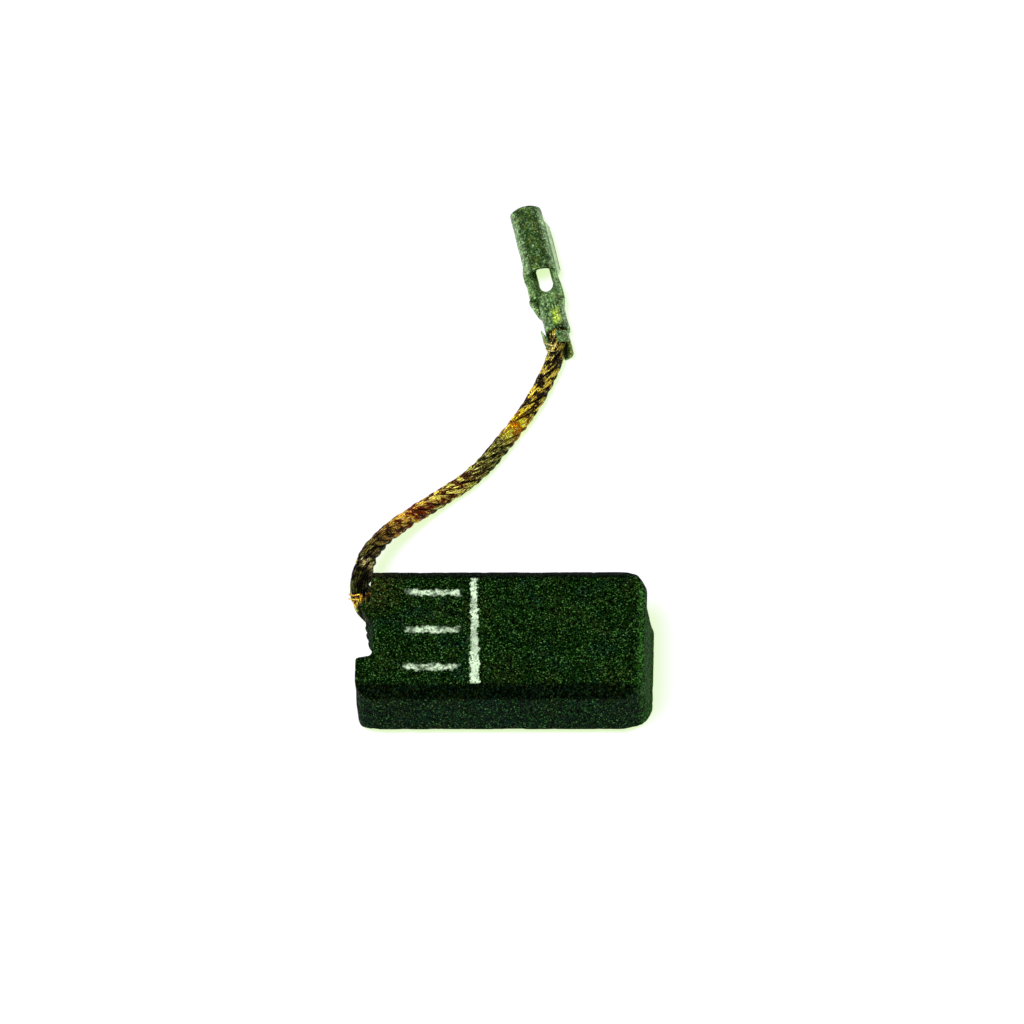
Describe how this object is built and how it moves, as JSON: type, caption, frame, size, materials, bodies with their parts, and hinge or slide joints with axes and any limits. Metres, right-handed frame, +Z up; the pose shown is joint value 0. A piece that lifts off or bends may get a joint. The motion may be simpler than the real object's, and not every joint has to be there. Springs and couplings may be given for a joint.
{
  "type": "carbon brush",
  "caption": "Carbon brush block with a grooved back end, a copper rope pigtail tamped into it and a rolled sheet terminal crimped to the free end.",
  "frame": {"origin": "under the middle of the block, on the surface that it lies on", "axes": "+X along the block to its contact face, the way it slides in its holder; +Y to the side where the pigtail lies; +Z up through the block's thickness"},
  "size_m": [0.0171, 0.0336, 0.005],
  "materials": {
    "carbon": "pressed carbon graphite, matt, dark green-black",
    "copper_powder": "packed copper powder, dull",
    "copper_rope": "bare copper strands, aged",
    "tinned_sheet": "tinned sheet, satin"
  },
  "bodies": {
    "root": {"carbon_block": "carbon", "tamping_plug": "copper_powder", "shunt_wire": "copper_rope", "terminal": "tinned_sheet"}
  },
  "joints": []
}
